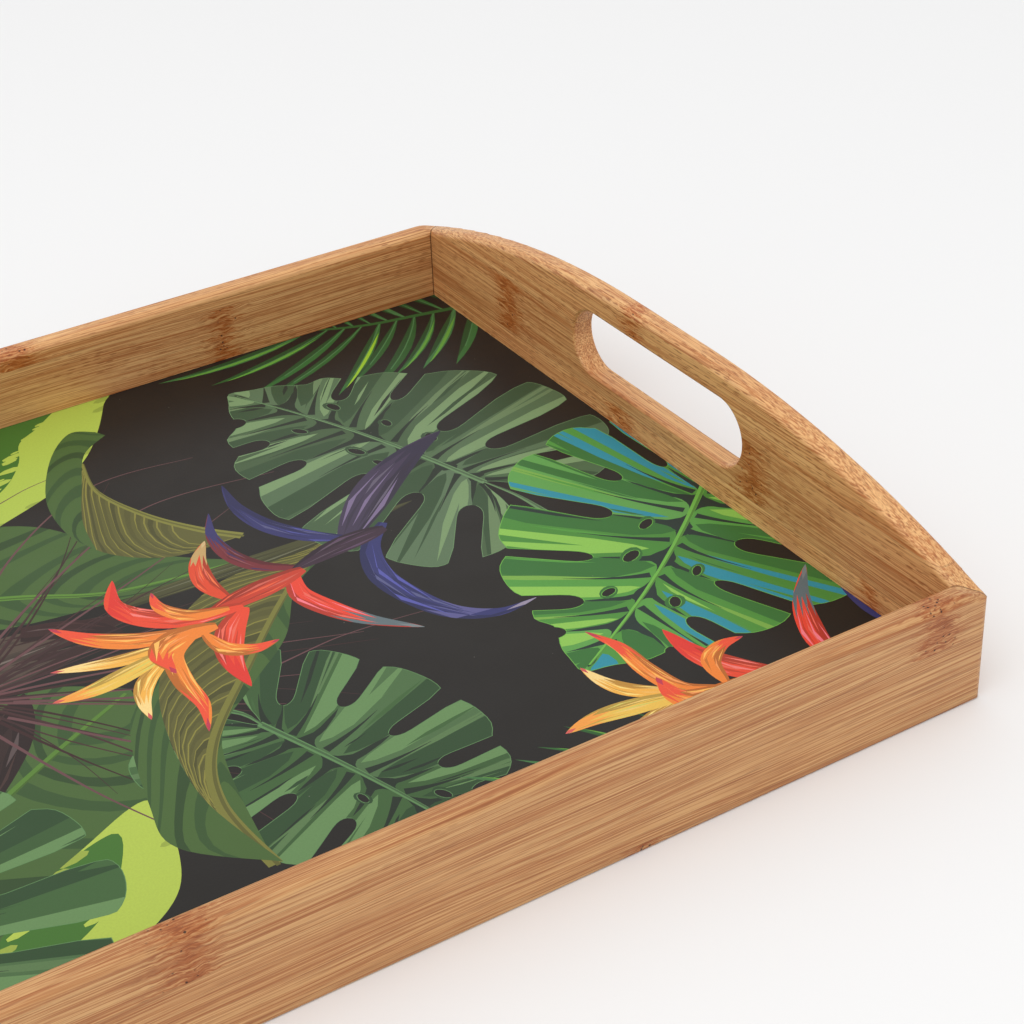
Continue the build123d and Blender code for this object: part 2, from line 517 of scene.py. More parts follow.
# Split leaf: a heart cut by slots, with fingers between them. Along and across are shares
# of the leaf's length. A slot runs from the midrib by its blind end to its mouth.
splitLeaf = {
    "outline": [
        (-0.10, 0.05), (-0.21, 0.12), (-0.26, 0.24), (-0.20, 0.38), (-0.04, 0.48), (0.16, 0.525),
        (0.36, 0.505), (0.56, 0.43), (0.73, 0.31), (0.86, 0.175), (0.95, 0.06),
    ],
    "slots": [
        (0.76, (0.84, 0.115), (0.99, 0.34)),
        (0.60, (0.69, 0.145), (0.86, 0.52)),
        (0.44, (0.51, 0.165), (0.62, 0.64)),
        (0.29, (0.31, 0.175), (0.32, 0.68)),
        (0.15, (0.12, 0.175), (-0.02, 0.66)),
        (0.05, (-0.03, 0.145), (-0.30, 0.52)),
    ],
    "slotPoints": (0.0, 0.01, 0.03, 0.06, 0.1, 0.16, 0.3, 0.45, 0.58, 0.66, 0.74, 0.82, 0.9, 1.0),
    "slotHalf": 0.031,
    "mouths": (0.008, 0.014, 0.026, 0.038),
    "flare": 0.17,  # how far a slot's lips turn outwards
    "pull": 0.075,  # how far the rim is drawn in beside a slot
    "pullReach": 0.055,
    "holes": ((0.64, 0.085), (0.31, 0.10), (0.46, 0.09)),
    "holeChance": 0.75,
    "holeLong": (0.020, 0.032),
    "holeShort": (0.012, 0.018),
    "flipChance": 0.35,  # some fingers are lit on their other side
    "strokes": (1, 3),
    "edge": 0.22,  # in mm, as are the midrib and the stalk
    "midrib": 1.15,
    "stalk": 1.3,
}


def drawFlame(colour, on, reach, low, high, leaf, chance):
    # a patch from a point near the root to a row of tongues
    start, end = reach
    wide = high - low
    middle = (start + 0.3 + end) / 2
    points = [on(start, low + 0.5 * wide), on(start + 0.12, low + 0.2 * wide)]
    points += [on(start + 0.3, low), on(middle, low)]
    for k in range(5):
        back = chance.uniform(0.0, 0.07) if k % 2 else chance.uniform(0.12, 0.42)
        points.append(on(end - back, low + wide * k / 4))
    points += [on(middle, high), on(start + 0.3, high), on(start + 0.12, high - 0.2 * wide)]
    ink(colour, points, leaf)


def lobed(place, heart, ways, size):
    # the rim is drawn in where a slot opens, which rounds the fingers' ends
    near = min(math.dist(place, pointAt(way, s / 12)) for way in ways for s in range(6, 13))
    pull = splitLeaf["pull"] * math.exp(-(near / (splitLeaf["pullReach"] * size)) ** 2)
    return (place[0] + (heart[0] - place[0]) * pull, place[1] + (heart[1] - place[1]) * pull)


def slotShape(narrow, wide, flare):
    # half the width of a slot: a round blind end, and lips that turn outwards
    def half(s):
        blind = math.sqrt(max(1 - (1 - min(s / 0.16, 1.0)) ** 2, 0.0))
        lips = max((s - 0.42) / 0.58, 0.0) ** 2.2
        return blind * (narrow + (wide - narrow) * s) + flare * lips + 0.05
    return half


def drawSplitLeaf(base, tip, colours, seed, spread=1.0, bow=0.04, stalk=(), accents=()):
    chance = random.Random(seed)
    size = math.dist(base, tip)
    ex, ey = (tip[0] - base[0]) / size, (tip[1] - base[1]) / size

    def at(u, v):
        v = v * spread + bow * math.sin(math.pi * max(u, 0.0))
        return (base[0] + size * (u * ex - v * ey), base[1] + size * (u * ey + v * ex))

    rim = [(0.0, 0.0)]
    for side in (1, -1):
        half = []
        for u, v in splitLeaf["outline"]:
            half.append((u + chance.uniform(-0.01, 0.01), side * v * chance.uniform(0.95, 1.05)))
        rim += half + [(1.0, 0.0)] if side == 1 else half[::-1]
    outer = through([at(u, v) for u, v in rim], closed=True)
    heart = at(0.35, 0)

    # The slots, and the lines that they and the fingers follow
    cuts, lines, holes = [], {}, []
    for side in (1, -1):
        lines[side] = [[at(0.93 + 0.04 * s, 0) for s in range(4)]]
        for start, blind, mouth in splitLeaf["slots"]:
            shift = chance.uniform(-0.025, 0.025)
            deep = side * blind[1] * chance.uniform(0.8, 1.3)
            knots = [(start + shift, 0.0), (blind[0] + shift, deep), (mouth[0] + shift, side * mouth[1])]
            way = through([at(u, v) for u, v in knots], steps=8)
            lines[side].append(way)
            narrow = splitLeaf["slotHalf"] * chance.uniform(0.7, 1.3) * size
            half = slotShape(narrow, chance.choice(splitLeaf["mouths"]) * size, splitLeaf["flare"] * size)
            cuts.append(ribbonAt(way[8:], splitLeaf["slotPoints"], half))
        lines[side].append([at(-0.04 * s, side * 0.012 * s) for s in range(8)])
        for u, v in splitLeaf["holes"]:
            if chance.random() < splitLeaf["holeChance"]:
                u, v = u + chance.uniform(-0.03, 0.03), side * v
                long = chance.uniform(*splitLeaf["holeLong"])
                short = chance.uniform(*splitLeaf["holeShort"])
                turns = [k * math.pi / 6 for k in range(12)]
                lean = side * 0.5 * short
                hole, lip = [], []
                for a in turns:
                    hole.append(at(u + long * math.cos(a) + lean * math.sin(a), v + short * math.sin(a)))
                    lip.append(at(u + 1.5 * long * math.cos(a), v + 1.6 * short * math.sin(a)))
                cuts.append(hole)
                holes.append(lip)
    outer = [lobed(place, heart, lines[1][1:7] + lines[-1][1:7], size) for place in outer]
    leaf = addStencil(outer, cuts)
    ink(colours["deep"], outer, leaf)

    # Fingers: a body, a shaded side, a lit side and a few strokes
    for side in (1, -1):
        for k in range(len(lines[side]) - 1):
            a, b = lines[side][k], lines[side][k + 1]
            flip = chance.random() < splitLeaf["flipChance"]

            def on(s, t, a=a, b=b, flip=flip):
                return between(a, b, s, (1 - t if flip else t))
            accent = (k, side) in accents
            low, high = chance.uniform(0.02, 0.05), chance.uniform(0.94, 0.98)
            ring = [(0.03, 0.5), (0.14, 0.14), (0.42, low), (1.2, -0.1)]
            ring += [(1.2, 1.1), (0.42, high), (0.14, 0.86)]
            tone = shade(colours["body"], chance.uniform(-0.10, 0.08))
            ink(tone, through([on(s, t) for s, t in ring], True, 4), leaf)
            dark = chance.uniform(0.50, 0.66)
            reach = (chance.uniform(0.05, 0.2), chance.uniform(0.9, 1.3))
            drawFlame(colours["mid"], on, reach, dark, 0.98, leaf, chance)
            lit = colours["accent"] if accent else colours["light"]
            reach = (chance.uniform(0.08, 0.24), chance.choice((0.8, 0.95, 1.1, 1.3)))
            drawFlame(lit, on, reach, 0.07, chance.uniform(0.26, 0.42), leaf, chance)
            if accent or chance.random() < 0.5:
                bright = accent and chance.random() < 0.6
                tone = colours["accent"] if bright else shade(colours["light"], -0.12)
                reach = (chance.uniform(0.3, 0.5), chance.uniform(1.0, 1.3))
                drawFlame(tone, on, reach, 0.46, 0.46 + chance.uniform(0.08, 0.22), leaf, chance)
            for _ in range(chance.randint(*splitLeaf["strokes"])):
                t = chance.uniform(0.10, 0.92)
                s0 = chance.uniform(0.15, 0.7)
                s1 = min(s0 + chance.uniform(0.18, 0.42), 1.05)
                w = chance.uniform(0.015, 0.045)
                tone = colours[chance.choice(("mid", "deep", "light", "body"))]
                ring = [(s0, t), ((s0 * 2 + s1) / 3, t - w), ((s0 + s1 * 2) / 3, t - w * 0.6)]
                ring += [(s1, t + w * 0.4), ((s0 + s1) / 2, t + w)]
                ink(tone, [on(s, u) for s, u in ring], leaf)
            vein = [on(s / 12, 0.5) for s in range(1, 8)]
            ink(colours["deep"], ribbon(vein, lambda s: 1.3 * (1 - s) + 0.05), leaf)
    for ring in holes:
        ink(colours["mid"], ring, leaf)

    # Thin light edges, then the midrib and the stalk
    for loop in [outer] + cuts:
        ink(colours["rim"], ribbon(loop + loop[:2], lambda s: splitLeaf["edge"]), leaf)
    drawStalk([at(u / 8, 0) for u in range(8)] + [at(0.97, 0)], colours["rim"], splitLeaf["midrib"])
    if stalk:
        drawStalk(through([at(0.01, 0)] + list(stalk))[::-1], colours["rim"], splitLeaf["stalk"])


def drawStalk(line, colour, width):
    # a tapered stalk with a thin shaded line beside it
    ink(colour, ribbon(line, lambda s: width * (1 - 0.78 * s)))
    shadow = [(x + 0.3 * width, y - 0.3 * width) for x, y in line]
    ink(shade(colour, -0.25), ribbon(shadow, lambda s: 0.4 * width * (1 - 0.75 * s)))


palm = {
    "leafletSteps": 7,
    "lean": 1.25,  # how far a leaflet turns from the spine, in radians
    "droop": (-0.50, -0.22),
    "length": 0.8,
    "shadeHalf": 0.55,  # shares of the leaflet's own width
    "lightHalf": 0.3,
    "lightChance": 0.6,
    "rib": 0.22,
    "spine": 1.25,
}


def drawPalm(spine, leaflets, colours, seed, longest=48.0, lean=0.55, sides=(1, -1), half=2.1):
    # leaflets leave the spine in pairs and lean towards its tip
    chance = random.Random(seed)
    line = through(spine)
    for side in sides:
        for i in range(leaflets):
            s = (i + 0.5 + 0.25 * side) / leaflets
            x, y = pointAt(line, s)
            ax, ay = pointAt(line, s + 0.02)
            leaned = palm["lean"] - lean * s + chance.uniform(-0.08, 0.08)
            heading = math.atan2(ay - y, ax - x) + side * leaned
            fullness = 0.62 + 0.6 * math.sin(math.pi * (0.12 + 0.8 * s))
            far = longest * fullness * chance.uniform(0.85, 1.1) * palm["length"]
            droop = side * chance.uniform(*palm["droop"])
            path = [(x, y)]
            steps = palm["leafletSteps"]
            for step in range(1, steps + 1):
                turned = heading + droop * step / steps
                px, py = path[-1]
                path.append((px + far / steps * math.cos(turned), py + far / steps * math.sin(turned)))
            wide = half * chance.uniform(0.8, 1.2)
            outer = ribbon(path, blade(0.45, wide, 0.15))
            shell = addStencil(outer)
            ink(shade(colours["body"], chance.uniform(-0.2, 0.1)), outer)
            out = (wide * math.sin(heading) * side, -wide * math.cos(heading) * side)
            under = [(px + 0.55 * out[0], py + 0.55 * out[1]) for px, py in path]
            ink(colours["dark"], ribbon(under, blade(0.4, wide * palm["shadeHalf"])), shell)
            if chance.random() < palm["lightChance"]:
                over = [(px - 0.4 * out[0], py - 0.4 * out[1]) for px, py in path[1:]]
                tone = colours[chance.choice(("light", "light", "lime"))]
                ink(tone, ribbon(over, blade(0.35, wide * palm["lightHalf"])), shell)
            ink(shade(colours["body"], 0.12), ribbon(path[:6], lambda s: palm["rib"]))
    ink(colours["rib"], ribbon(line, lambda s: palm["spine"] - 0.9 * s))


broadLeaf = {
    "bandShare": (0.38, 0.58),  # of the way from one band to the next
    "bandShift": 0.15,
    "vein": (0.28, 0.14),  # half its width at the rib, and at the edge
}


def drawHalfLeaf(rib, edge, colours, bands, slant=0.2, veins=True, seed=1):
    # one side of a broad leaf, between its midrib and its edge
    chance = random.Random(seed)
    rib, edge = through(rib, steps=8), through(edge, steps=8)
    outer = rib + edge[::-1]
    leaf = addStencil(outer)
    ink(colours["body"], outer)

    def on(s, t):
        return between(rib, edge, s, t)
    for i in range(bands):
        s = (i + chance.uniform(-broadLeaf["bandShift"], broadLeaf["bandShift"])) / bands - slant
        wide = chance.uniform(*broadLeaf["bandShare"]) / bands
        sweep = [k / 6 for k in range(7)]
        up = [on(s + slant * t**1.4, t) for t in sweep]
        down = [on(s + wide * (1 - 0.4 * t) + slant * t**1.4, t) for t in sweep]
        tone = colours["band"] if i % 3 else shade(colours["band"], -0.12)
        ink(tone, up + down[::-1], leaf)
        if veins:
            thick, thin = broadLeaf["vein"]
            vein = [on(s + wide * 1.5 + slant * t**1.3, t) for t in sweep]
            ink(colours["vein"], ribbon(vein, lambda s: thick - (thick - thin) * s), leaf)


def drawRib(rib, colour, width):
    line = through(rib)
    ink(colour, ribbon(line, lambda s: width * (1 - 0.75 * s)))
    shadow = [(x + 0.25 * width, y - 0.3 * width) for x, y in line]
    ink(shade(colour, -0.22), ribbon(shadow, lambda s: 0.3 * width * (1 - 0.75 * s)))


petal = {
    "tongues": 9,  # at the start of the tip's own colour
    "tongueDeep": (0.52, 0.62),
    "tongueShort": (0.68, 0.8),
    "strokes": 7,
    "strokeStart": (0.05, 0.45),
    "strokeLong": (0.25, 0.5),
    "strokeHalf": (0.05, 0.12),
}


def drawPetal(place, points, width, colours, seed, fullest=0.4, root=0.35):
    # body, a darker belly, long strokes, and a tip of another colour that starts in tongues
    chance = random.Random(seed)
    line = through([place(*p) for p in points], steps=6)
    outer = ribbon(line, blade(fullest, width, root))
    inside = addStencil(outer)
    ink(colours[0], outer)
    shape = blade(fullest, width, root)

    def on(s, t):
        x, y = pointAt(line, s)
        ax, ay = pointAt(line, min(s + 0.02, 1.0))
        bx, by = pointAt(line, max(s - 0.02, 0.0))
        size = math.hypot(ax - bx, ay - by) or 1.0
        w = shape(min(max(s, 0.0), 1.0)) * t
        return (x - (ay - by) / size * w, y + (ax - bx) / size * w)
    belly = [on(k / 10, -1.1) for k in range(11)]
    belly += [on(k / 10, -0.35 - 0.15 * math.sin(k)) for k in range(10, -1, -1)]
    ink(shade(colours[0], -0.22), belly, inside)
    if len(colours) > 2:
        tongues = []
        for k in range(petal["tongues"]):
            s = chance.uniform(*petal["tongueDeep"] if k % 2 else petal["tongueShort"])
            tongues.append(on(s, 1.1 - 2.2 * k / (petal["tongues"] - 1)))
        ink(colours[2], tongues + [on(1.02, 0)], inside)
    for k in range(petal["strokes"]):
        t = -0.75 + 0.25 * k + chance.uniform(-0.08, 0.08)
        s0 = chance.uniform(*petal["strokeStart"])
        s1 = s0 + chance.uniform(*petal["strokeLong"])
        w = chance.uniform(*petal["strokeHalf"])
        tone = (colours[1], shade(colours[0], 0.18), shade(colours[0], -0.15))[k % 3]
        near, far = on(s0 * 0.6 + s1 * 0.4, t + w), on(s0 * 0.5 + s1 * 0.5, t - w)
        ink(tone, [on(s0, t), near, on(s1, t * 0.8), far], inside)
    if len(colours) > 3:
        ink(colours[3], [on(0.93, 0.9), on(1.02, 0), on(0.93, -0.9), on(0.86, 0)], inside)


flower = {
    "plum": [(66, 56, 78), (124, 108, 140), (52, 46, 66)],
    "indigo": [(54, 54, 104), (84, 86, 158), (44, 44, 84)],
    "indigoPale": [(54, 56, 108), (88, 90, 166), (92, 90, 140), (150, 140, 160)],
    "wine": [(118, 46, 52), (60, 50, 92), (58, 54, 104)],
    "stemDark": [(62, 44, 58), (92, 70, 92)],
    "stemRed": [(198, 66, 46), (232, 96, 62)],
    "red": [(232, 76, 50), (244, 128, 120), (222, 58, 48)],
    "redGrey": [(232, 72, 52), (246, 126, 140), (98, 112, 116), (120, 130, 132)],
    "redTan": [(222, 76, 46), (240, 118, 70), (196, 160, 104), (206, 178, 126)],
    "orange": [(240, 134, 54), (252, 190, 96), (236, 84, 56), (190, 60, 80)],
    "yellow": [(242, 178, 76), (250, 222, 130), (248, 214, 140), (206, 90, 90)],
    "lemon": [(236, 192, 84), (214, 206, 104), (244, 160, 72), (214, 96, 88)],
}
# petals from the back to the front: points from the root, half width, colours
flowerPetals = [
    ([(28, 8), (41, 21), (55, 33), (71, 43), (87, 50)], 7.2, "plum"),
    ([(30, 9), (20, 18), (12, 31), (9, 46), (11, 61)], 3.5, "indigo"),
    ([(43, 11), (33, 1), (28, -14), (30, -30), (36, -44), (47, -52), (60, -52)], 4.2, "indigoPale"),
    ([(9, 4), (0, 11), (-5, 22), (-5, 35), (0, 48)], 3.0, "wine"),
    ([(7, 3), (3, -9), (7, -22), (14, -34), (25, -46)], 3.8, "redGrey"),
    ([(42, 8), (24, 7), (6, 3)], 4.4, "stemDark"),
    ([(-16, 1), (-18, 12), (-15, 24), (-8, 34)], 3.5, "redTan"),
    ([(-14, -6), (-23, -15), (-29, -28), (-30, -43)], 4.6, "red"),
    ([(-33, -11), (-42, -17), (-45, -30), (-45, -43), (-49, -55)], 3.2, "orange"),
    ([(-42, -15), (-53, -23), (-58, -31), (-60, -41)], 3.0, "yellow"),
    ([(-38, -12), (-56, -10), (-75, -4)], 3.0, "yellow"),
    ([(-32, -8), (-47, -4), (-59, 5), (-67, 17)], 4.0, "orange"),
    ([(-40, -13), (-56, -17), (-69, -19), (-80, -18)], 3.6, "lemon"),
    ([(10, 2), (-3, 0), (-17, -2), (-30, -6)], 4.6, "stemRed"),
    ([(-14, -5), (-30, -2), (-41, 6), (-46, 17), (-41, 30)], 4.6, "red"),
    ([(-18, -4), (-29, -1), (-35, 8), (-34, 17)], 2.8, "orange"),
    ([(-25, -10), (-37, -9), (-45, -14), (-45, -25)], 4.6, "orange"),
    ([(-30, -12), (-28, -22), (-21, -27), (-13, -27)], 3.0, "orange"),
]


def drawFlower(middle, turn, seed, mirror=1, size=1.0):
    cosine, sine = math.cos(math.radians(turn)), math.sin(math.radians(turn))

    def place(x, y):
        y *= mirror
        return (middle[0] + size * (x * cosine - y * sine), middle[1] + size * (x * sine + y * cosine))
    for number, (points, width, name) in enumerate(flowerPetals):
        drawPetal(place, points, width * size, flower[name], seed + number)


def drawThread(points, colour, width=0.5):
    ink(colour, ribbon(through(points), lambda s: width * (1 - 0.85 * s)))


greyGreen = {
    "deep": (38, 48, 37),
    "body": (78, 104, 70),
    "mid": (56, 80, 52),
    "light": (122, 150, 104),
    "rim": (106, 140, 96),
}
darkGreen = {
    "deep": (34, 46, 34),
    "body": (64, 98, 54),
    "mid": (46, 74, 43),
    "light": (102, 138, 86),
    "rim": (94, 134, 84),
}
brightGreen = {
    "deep": (36, 52, 46),
    "body": (84, 152, 64),
    "mid": (56, 112, 52),
    "light": (140, 194, 84),
    "rim": (112, 180, 74),
    "accent": (46, 142, 160),
}
palmGreen = {
    "body": (50, 104, 48),
    "dark": (38, 76, 38),
    "light": (98, 156, 58),
    "lime": (150, 192, 46),
    "rib": (48, 96, 44),
}
broadGreen = {"body": (72, 100, 50), "band": (56, 84, 44), "vein": (84, 118, 54)}
oliveGreen = {"body": (96, 94, 48), "band": (88, 86, 44), "vein": (136, 130, 60)}
spotted = {"body": (176, 196, 80), "heart": (66, 112, 42)}
spindle = [(84, 70, 60), (62, 48, 44), (54, 34, 32)]
dullStem = [(74, 74, 44), (92, 90, 54)]
darkBract = [(56, 34, 32), (70, 44, 42), (46, 28, 27)]
brownBract = [(52, 36, 34), (68, 48, 44), (42, 28, 27)]
threadTones = ((58, 34, 34), (70, 44, 44), (104, 68, 70), (62, 40, 40))
paleThread = (104, 70, 72)
ribTones = {
    "spring": (94, 136, 54),
    "moss": (88, 128, 50),
    "olive": (122, 120, 56),
    "straw": (130, 128, 60),
}


spottedLeaf = {
    "inwards": (0.03, 0.45),  # how far from the heart's edge its flecks lie
    "fleck": (0.8, 2.6),
    "edgeFleck": (1.0, 3.0),
}


def drawSpotted(outer, inner, spots, colours):
    # a leaf with a green heart, a pale edge and pale flecks
    edge = through(outer, True)
    leaf = addStencil(edge)
    ink(colours["body"], edge)
    ink(colours["heart"], through(inner, True), leaf)
    chance = random.Random(len(outer) + spots)
    for _ in range(spots):
        x, y = pointAt(inner, chance.random())
        cx, cy = inner[len(inner) // 2]
        t = chance.uniform(*spottedLeaf["inwards"])
        w = chance.uniform(*spottedLeaf["fleck"])
        middle = (x + (cx - x) * t, y + (cy - y) * t)
        ink(colours["body"], oval(middle, w * 1.6, w * 0.6, 0.5, 7, 0.9), leaf)
    for _ in range(spots // 2):
        middle = pointAt(outer, chance.random())
        w = chance.uniform(*spottedLeaf["edgeFleck"])
        ink(shade(colours["body"], -0.14), oval(middle, w * 1.8, w * 0.7, 0.4, 8, 0.8), leaf)


tuft = {
    "bare": 8,  # the threads start this far from the middle
    "reach": (0.55, 1.1),
    "bend": 0.25,
    "width": (0.35, 0.75),
}


def drawTuft(middle, fan, count, reach, seed):
    # a maroon flower head with long fine threads
    chance = random.Random(seed)
    for k in range(count):
        a = math.radians(fan[0] + (fan[1] - fan[0]) * (k + chance.uniform(-0.3, 0.3)) / count)
        far = reach * chance.uniform(*tuft["reach"])
        bend = chance.uniform(-tuft["bend"], tuft["bend"])
        x, y = middle
        points = [(x + tuft["bare"] * math.cos(a), y + tuft["bare"] * math.sin(a))]
        for share in (0.35, 0.7, 1.0):
            turned = a + bend * share
            points.append((x + far * share * math.cos(turned), y + far * share * math.sin(turned)))
        drawThread(points, chance.choice(threadTones), chance.uniform(*tuft["width"]))


def asDrawn(x, y):
    return (x, y)


def drawRightHalf():
    # back to front, on the half with the right handle: a spotted leaf at the back
    edge = [(62, 150), (56, 137), (47, 121), (36, 106), (20, 93), (0, 84), (-22, 76), (-36, 92)]
    heart = [(46, 152), (33, 137), (22, 129), (17, 117), (8, 105), (-6, 95), (-22, 86), (-32, 98)]
    drawSpotted(edge + [(-20, 122), (6, 150)], heart + [(-14, 124), (10, 150)], 26, spotted)

    # two broad leaves, and a spotted one at the front
    rib = [(-66, 66), (-17, 43), (12, 27), (52, 20)]
    above = [(-56, 104), (-2, 82), (16, 62), (30, 40), (52, 20)]
    below = [(-66, 44), (-24, 28), (10, 22), (52, 19)]
    drawHalfLeaf(rib, above, broadGreen, 9, 0.25, False, 1)
    drawHalfLeaf(rib, below, broadGreen, 8, 0.2, False, 2)
    drawRib(rib[:-1] + [(50, 20.5)], ribTones["spring"], 1.8)
    rib = [(-104, -78), (-51, -47), (-30, -35), (-4, -21)]
    below = [(-110, -118), (-56, -98), (-24, -80), (-8, -52), (-4, -21)]
    above = [(-104, -40), (-60, -14), (-28, -6), (-4, -21)]
    drawHalfLeaf(rib, below, broadGreen, 9, 0.22, False, 3)
    drawHalfLeaf(rib, above, broadGreen, 8, 0.22, False, 4)
    drawRib(rib[:-1] + [(-6, -22.5)], ribTones["moss"], 2.0)
    edge = [(-20, -70), (-23, -95), (-34, -112), (-62, -124), (-84, -116), (-66, -92), (-42, -78)]
    heart = [(-34, -77), (-38, -92), (-50, -106), (-72, -116), (-84, -112), (-66, -90)]
    drawSpotted(edge, heart, 14, spotted)

    # a ribbed stem leaf, and the maroon flower head with its threads
    drawPetal(asDrawn, [(6, 19), (40, 18), (76, 17), (112, 20)], 3.6, dullStem, 41, 0.5, 0.6)
    drawPetal(asDrawn, [(-66, 12), (-30, 16), (14, 12)], 8.0, spindle, 42, 0.45, 0.7)
    drawPetal(asDrawn, [(-62, 2), (-34, 4), (-2, 5)], 6.0, spindle, 43, 0.45, 0.7)
    drawPetal(asDrawn, [(-20, 22), (-6, 16), (6, 6)], 4.6, darkBract, 44, 0.5, 0.8)
    drawPetal(asDrawn, [(-60, -46), (-44, -26), (-30, -6)], 7.6, brownBract, 45, 0.5, 0.7)
    drawTuft((-46, 0), (-70, 74), 30, 112, 7)
    for points in (
        [(-40, 20), (-8, 62), (30, 88), (66, 86)],
        [(-44, 24), (-20, 80), (8, 98), (34, 102)],
        [(-38, 14), (0, 44), (40, 66), (84, 62)],
        [(-34, 8), (20, 30), (62, 50)],
        [(-34, -8), (14, -34), (58, -33), (86, -36)],
        [(-38, -14), (4, -62), (40, -74), (62, -70)],
        [(-44, -18), (-30, -60), (-14, -96)],
    ):
        drawThread(points, paleThread, 0.6)
    drawSplitLeaf((19, -57), (48, -150), darkGreen, 13, 0.86, 0.02, [(17, -50), (10, -42)])

    # the long folded leaf
    rib = [(86, 17), (65, 5), (51, -7), (31, -28), (5, -57), (-5, -82), (-4, -112)]
    folded = [(86, 17), (70, 14), (40, 13), (14, -6), (-1, -35), (-8, -75), (-4, -112)]
    flat = [(86, 17), (72, 7), (58, -3), (44, -24), (25, -40), (6, -60), (-4, -112)]
    drawHalfLeaf(rib, folded, oliveGreen, 26, 0.26, True, 5)
    drawHalfLeaf(rib, flat, broadGreen, 9, 0.12, False, 6)
    drawRib(rib[::-1], ribTones["olive"], 2.1)
    fold = [(14, -6), (-1, -35), (-8, -75), (-2, -112)]
    outer = [(14, -6), (-10, -35), (-21, -72), (-22, -92), (-2, -112)]
    drawHalfLeaf(fold, outer, broadGreen, 8, 0.2, False, 7)

    # palms, then the other two split leaves
    drawPalm([(204, 126), (180, 131), (158, 136), (138, 146), (112, 168)], 15, palmGreen, 5, 62.0, 0.35)
    drawPalm([(140, -158), (110, -152), (76, -150), (40, -156)], 12, palmGreen, 6, 56.0, 0.5, (-1,), 1.5)
    stalk = [(141, 4), (143, -8), (144, -18)]
    drawSplitLeaf((137, 16), (95, 118), greyGreen, 3, 1.02, -0.03, stalk)
    accents = [(0, 1), (1, 1), (2, 1), (3, 1), (4, -1), (5, -1), (6, -1)]
    drawSplitLeaf((198, -22), (106, -88), brightGreen, 8, 1.05, 0.03, [(214, -10)], accents)

    # the olive leaf that rolls over at its top, and two flowers
    inner = [(34, 102), (31, 86), (38, 62), (48, 44), (58, 33)]
    outer = [(28, 94), (19, 76), (17, 52), (34, 35), (58, 33)]
    drawHalfLeaf(inner, outer, oliveGreen, 17, 0.36, True, 9)
    drawRib([(58, 33), (48, 45), (38, 62), (31, 84), (34, 104)], ribTones["straw"], 1.7)
    inner = [(48, 117), (37, 109), (29, 92), (20, 70), (17, 52)]
    outer = [(46, 121), (38, 125), (26, 112), (15, 88), (13, 66), (17, 52)]
    drawHalfLeaf(inner, outer, broadGreen, 7, 0.2, False, 10)
    drawFlower((55, 3), 0, 100)
    drawFlower((166, -127), 0, 200, -1)


def drawLeftHalf():
    # the half with the left handle, also back to front
    edge = [(-206, 40), (-180, 52), (-160, 44), (-150, 24), (-160, -2), (-184, -16), (-206, -12)]
    heart = [(-206, 30), (-186, 38), (-170, 30), (-164, 14), (-176, -4), (-206, -8)]
    drawSpotted(edge, heart, 18, spotted)
    rib = [(-206, -52), (-168, -58), (-136, -78), (-108, -112)]
    above = [(-206, -16), (-160, -22), (-124, -52), (-108, -112)]
    below = [(-206, -96), (-170, -104), (-136, -112), (-108, -112)]
    drawHalfLeaf(rib, above, broadGreen, 11, 0.24, False, 11)
    drawHalfLeaf(rib, below, broadGreen, 9, 0.22, False, 12)
    drawRib(rib[:-1] + [(-110, -110)], ribTones["spring"], 2.0)
    backPalm = [(-204, 134), (-176, 128), (-148, 126), (-116, 134), (-92, 152)]
    drawPalm(backPalm, 15, palmGreen, 15, 58.0, 0.35)
    drawPalm([(-206, -140), (-170, -128), (-140, -122), (-104, -128)], 14, palmGreen, 16, 50.0, 0.4)
    drawSplitLeaf((-118, 96), (-28, 150), greyGreen, 23, 1.0, 0.02, [(-126, 92), (-134, 90)])
    stalk = [(-146, 12), (-140, -2)]
    accents = [(0, 1), (1, 1), (2, 1), (3, -1), (4, -1)]
    drawSplitLeaf((-150, 22), (-188, 118), brightGreen, 28, 1.0, -0.03, stalk, accents)
    drawSplitLeaf((-86, -60), (-120, -160), darkGreen, 33, 0.95, 0.03, [(-82, -50), (-74, -44)])
    drawFlower((-120, 30), 196, 300, 1, 0.95)


def clippedTo(loop, halfX, halfY):
    # what is left of a loop inside the sheet, which is a rectangle round the middle
    for axis, limit in ((0, halfX), (1, halfY)):
        for side in (1, -1):
            kept = []
            for a, b in zip(loop, loop[1:] + loop[:1]):
                overA, overB = side * a[axis] - limit, side * b[axis] - limit
                if overA <= 0:
                    kept.append(a)
                if (overA < 0 < overB) or (overB < 0 < overA):
                    t = overA / (overA - overB)
                    kept.append(tuple(a[k] + (b[k] - a[k]) * t for k in (0, 1)))
            loop = kept
    return loop


def coveredBy(loop, x, y):
    # which of the places x, y lie inside a loop, by counting the sides that each looks across
    if len(loop) < 3 or not len(x):
        return np.zeros(len(x), bool)
    ax, ay = np.array(loop).T[:, :, None]
    bx, by = np.roll(ax, -1, axis=0), np.roll(ay, -1, axis=0)
    rise = np.where(ay == by, 1.0, by - ay)
    crossed = ((ay > y) != (by > y)) & (x < (bx - ax) * (y - ay) / rise + ax)
    return crossed.sum(axis=0) % 2 == 1


